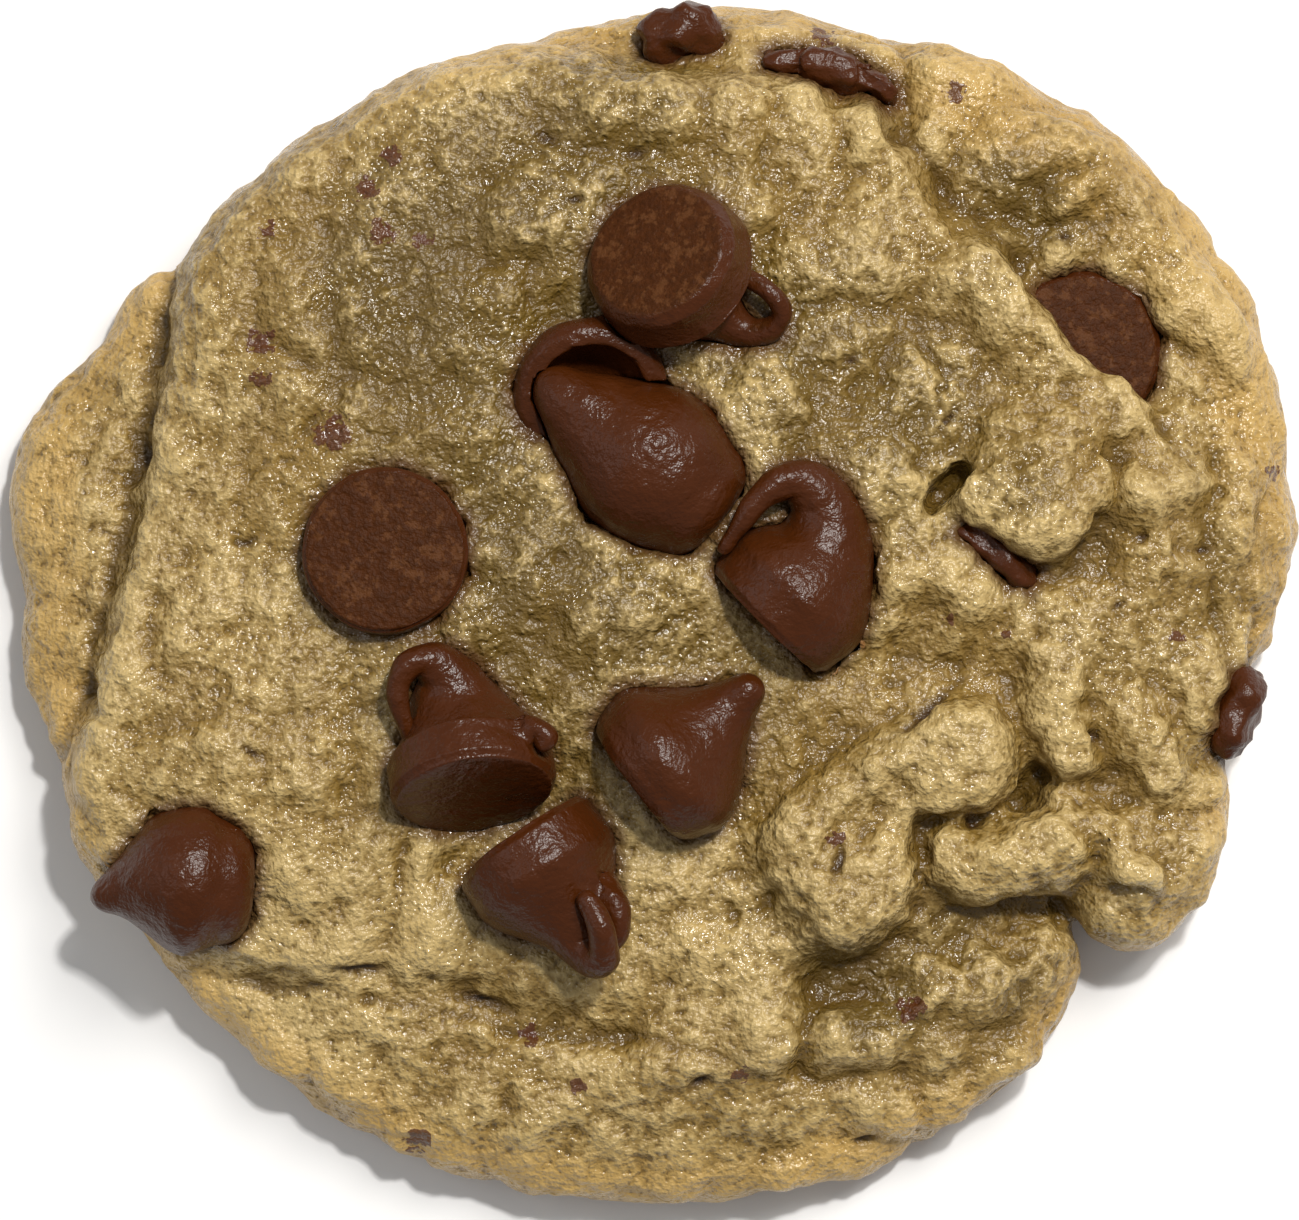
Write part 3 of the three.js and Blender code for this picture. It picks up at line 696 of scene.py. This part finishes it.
def roughen(mesh, look):
    """Gives the crust its lumps, crumb, holes and creases, and keeps what the material needs to know."""
    points = points_of(mesh)
    normals = normals_of(mesh)
    radius = np.hypot(points[:, 0], points[:, 1] * WIDER_THAN_DEEP) / MM
    rim = fade(radius, RIM_START, RIM_FULL)
    open_top = fade(normals[:, 2], -0.5, 0.3) * fade(points[:, 2], ROUGH_FROM, ROUGH_FULLY)
    facing_up = normals[:, 2] > 0.2

    crumb = noise(points, 1.1, 2) + 0.8 * noise(points, 0.62, 3)
    shift = open_top * (look.lump * lumps_at(points) + look.crumb * (1 - 0.25 * rim) * crumb)
    shift += grains_and_pits(points, np.flatnonzero(open_top > 0.5), look) * (1 - 0.5 * rim)
    # Holes are carved, and kept so that painted shade can fill them.
    hole_and_shade = hole_depth(points) * facing_up
    # Creases are carved, and kept so that painted shade can fill them.
    crease_and_shade = crease_depth(points) * facing_up
    shift -= MM * (HOLE_DEPTH * hole_and_shade + CREASE_SHARE * crease_and_shade)
    set_points(mesh, touch_chocolate(points + normals * shift[:, None]))
    store(mesh, "hole_and_shade", hole_and_shade)
    store(mesh, "crease_and_shade", crease_and_shade)
    store_marks(mesh, rim)


def store_marks(mesh, rim):
    """Keeps what the material needs to know about the finished shape."""
    points = points_of(mesh)
    normals = normals_of(mesh)
    height = points[:, 2]
    near = np.einsum("ij,ij->i", points - smoothed(mesh, points, CREST_PASSES), normals) / (0.12 * MM)
    sunk = (smoothed(mesh, height, HOLLOW_PASSES) - height) / MM
    # Painted light on the crests and painted shade in the hollows, by how far each point stands out of its
    # neighbours.
    store(mesh, "crest_light_and_shade", np.clip(0.35 * near - 0.8 * sunk, -1.2, 1.2))
    # Painted shade in sunken land, darker the lower it lies.
    store(mesh, "deep", np.clip(1.1 * sunk - 0.15, 0, 1) * (height > 2 * MM))
    store(mesh, "patches", noise(points, 6, 30) + 0.5 * noise(points, 2.6, 31))
    store(mesh, "tone", tone_at(points))

    low = fade(height, 7.5 * MM, 3.5 * MM)
    left_lip = (points[:, 0] < -33.5 * MM - 0.24 * points[:, 1]) & (height < 7.6 * MM)
    store(mesh, "rim", np.clip(0.7 * rim + 0.5 * low + 0.4 * left_lip, 0, 1))
    store(mesh, "under", fade(-normals[:, 2], 0.125, 0.75))

    facing_up = normals[:, 2] > 0
    store(mesh, "fleck", fleck_share(points) * facing_up)
    wet = noise(points, 2.4, 40) + 0.6 * noise(points, 1.1, 41)
    store(mesh, "grease", np.clip(0.5 + 1.4 * wet, 0, 1) * facing_up)
    # How near the chocolate each point is, for the staining and painted shade beside the chips.
    store(mesh, "stain_and_shade", 1 - nearest_chocolate(points, STAIN_AND_SHADE_REACH)[1] / STAIN_AND_SHADE_REACH)


def thin_underside(piece):
    """Makes the flat underside one face, for it needs no detail."""
    shape = bmesh.new()
    shape.from_mesh(piece.data)
    level = {f for f in shape.faces if f.normal.z < -0.99 and max(v.co.z for v in f.verts) < 0.02 * MM}
    inner = {f for f in level if all(near in level for v in f.verts for near in v.link_faces)}
    bmesh.ops.delete(shape, geom=list(inner), context="FACES")
    bmesh.ops.edgeloop_fill(shape, edges=[e for e in shape.edges if e.is_boundary])
    if any(e.is_boundary for e in shape.edges):
        raise RuntimeError("The underside of the dough isn't closed.")
    bmesh.ops.recalc_face_normals(shape, faces=shape.faces)
    shape.to_mesh(piece.data)
    shape.free()


class COOKIE_OT_dough(bpy.types.Operator):
    """Makes the folded, crumbly dough from the CAD solid"""

    bl_idname = "cookie.dough"
    bl_label = "Dough"

    def execute(self, context):
        look = context.scene.cookie_dough
        piece = even_dough(look)
        roughen(piece.data, look)
        thin_underside(piece)
        finish_piece(piece, ["dough"], dough_material(look))
        return {"FINISHED"}


# The chocolate

def rounded(piece, levels):
    """Rounds a faceted solid with a surface that still runs through its corners."""
    mesh = piece.data
    corners = points_of(mesh)
    cage = corners.copy()
    divide = piece.modifiers.new("Rounded", "SUBSURF")
    divide.levels = levels
    divide.render_levels = levels
    for _ in range(3):
        graph = bpy.context.evaluated_depsgraph_get()
        skin = points_of(piece.evaluated_get(graph).data)[: len(corners)]
        cage += 0.8 * (corners - skin)
        set_points(mesh, cage)
        mesh.update_tag()
    settle(piece)


def wrinkles_at(points, name, number):
    """How high the melted skin's wrinkles stand at each point. Broken chips are the most crumpled."""
    small = noise(points, 0.8, number + 40)
    if name.startswith("chunk"):
        return 4 * np.abs(noise(points, 1.6, number)) + 3 * small - 1.5
    return noise(points, 1.9, number) + 0.5 * small


def make_chip(name, number, look, material):
    """A chip or broken chip, from its CAD solid."""
    shape = solid_copy(name)
    limit = math.radians(50)
    bmesh.ops.join_triangles(
        shape, faces=shape.faces, angle_face_threshold=limit, angle_shape_threshold=limit
    )
    piece = as_object(shape, name.replace("chip", "chocolate_chip").replace("chunk", "chocolate_chunk"))
    rounded(piece, look.levels)
    mesh = piece.data
    points = points_of(mesh)
    normals = normals_of(mesh)
    flat = np.zeros(len(points))
    if name in FLAT_BASES:
        flat = fade(normals @ np.array(Vector(FLAT_BASES[name]).normalized()), 0.9, 0.97)
    height = look.wrinkle * (1 - 0.6 * flat) * wrinkles_at(points, name, number)
    set_points(mesh, points + normals * height[:, None])
    store(mesh, "flat", flat)
    finish_piece(piece, [name], material)


class COOKIE_OT_chips(bpy.types.Operator):
    """Makes every whole and broken chocolate chip from its CAD solid"""

    bl_idname = "cookie.chips"
    bl_label = "Chocolate chips"

    def execute(self, context):
        look = context.scene.cookie_chocolate
        material = chocolate_material(look)
        names = sorted(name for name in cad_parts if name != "dough")
        for number, name in enumerate(names):
            make_chip(name, number, look, material)
        return {"FINISHED"}


# The studio

def soft_light(name, at, width, power, colour):
    """A square light that faces the cookie."""
    light = bpy.data.lights.new(name, "AREA")
    light.size = width
    light.energy = power
    light.color = colour
    lamp = bpy.data.objects.new(name, light)
    lamp.location = at
    lamp.rotation_euler = (-Vector(at)).to_track_quat("-Z", "Y").to_euler()
    bpy.context.scene.collection.objects.link(lamp)
    return lamp


def pale_floor(look):
    """A wide, plain floor under the cookie."""
    shape = bmesh.new()
    bmesh.ops.create_grid(shape, x_segments=1, y_segments=1, size=3.0)
    floor = as_object(shape, "floor")
    floor.data.materials.append(plain_material("floor", look.floor, roughness=0.8))
    return floor


def even_sky(strength):
    """White light from all round."""
    world = bpy.data.worlds.new("even light")
    world.use_nodes = True
    sky = world.node_tree.nodes["Background"]
    sky.inputs["Color"].default_value = (1.0, 1.0, 1.0, 1.0)
    sky.inputs["Strength"].default_value = strength
    return world


def camera_above(look):
    """A camera that looks straight down."""
    lens = bpy.data.cameras.new("camera")
    lens.sensor_width = 36.0
    lens.lens = lens.sensor_width * (look.distance - SPAN_HEIGHT) / look.span
    lens.clip_end = 10.0
    camera = bpy.data.objects.new("camera", lens)
    camera.location = (*CAMERA_SPOT, look.distance)
    bpy.context.scene.collection.objects.link(camera)
    return camera


class COOKIE_OT_studio(bpy.types.Operator):
    """Makes the pale floor, the soft light and the camera"""

    bl_idname = "cookie.studio"
    bl_label = "Studio"

    def execute(self, context):
        look = context.scene.cookie_studio
        scene = context.scene
        floor = pale_floor(look)
        key = soft_light(
            "key_light", at=(0.24, 0.30, 0.52), width=0.26, power=look.key, colour=(1.0, 0.97, 0.92)
        )
        lamp = soft_light(
            "small_light", at=(0.12, 0.2, 0.52), width=0.036, power=look.lamp, colour=(1.0, 0.98, 0.95)
        )
        side = soft_light(
            "side_light", at=(-0.5, 0.1, 0.5), width=0.4, power=look.key * 0.25, colour=(0.9, 0.95, 1.0)
        )
        scene.world = even_sky(look.fill)
        scene.camera = camera_above(look)
        scene.view_settings.view_transform = "Standard"
        scene.view_settings.look = "None"
        return {"FINISHED"}


class COOKIE_PT_panel(bpy.types.Panel):
    """Lists the steps that build the cookie"""

    bl_label = "Chocolate chip cookie"
    bl_idname = "COOKIE_PT_panel"
    bl_space_type = "VIEW_3D"
    bl_region_type = "UI"
    bl_category = "Cookie"

    def draw(self, context):
        for step in STEPS:
            self.layout.operator(step.bl_idname)


SETTINGS = {
    "cookie_dough": COOKIE_PG_dough,
    "cookie_chocolate": COOKIE_PG_chocolate,
    "cookie_studio": COOKIE_PG_studio,
}
STEPS = (COOKIE_OT_dough, COOKIE_OT_chips, COOKIE_OT_studio)


def register():
    """Adds the settings, steps and panel."""
    for name, group in SETTINGS.items():
        bpy.utils.register_class(group)
        setattr(bpy.types.Scene, name, PointerProperty(type=group))
    for cls in (*STEPS, COOKIE_PT_panel):
        bpy.utils.register_class(cls)


def unregister():
    """Takes away what register added."""
    for cls in (COOKIE_PT_panel, *reversed(STEPS)):
        bpy.utils.unregister_class(cls)
    for name, group in SETTINGS.items():
        delattr(bpy.types.Scene, name)
        bpy.utils.unregister_class(group)


def main():
    """Builds everything in order."""
    register()
    for step in STEPS:
        group, name = step.bl_idname.split(".")
        getattr(getattr(bpy.ops, group), name)()


if __name__ == "__main__":
    main()
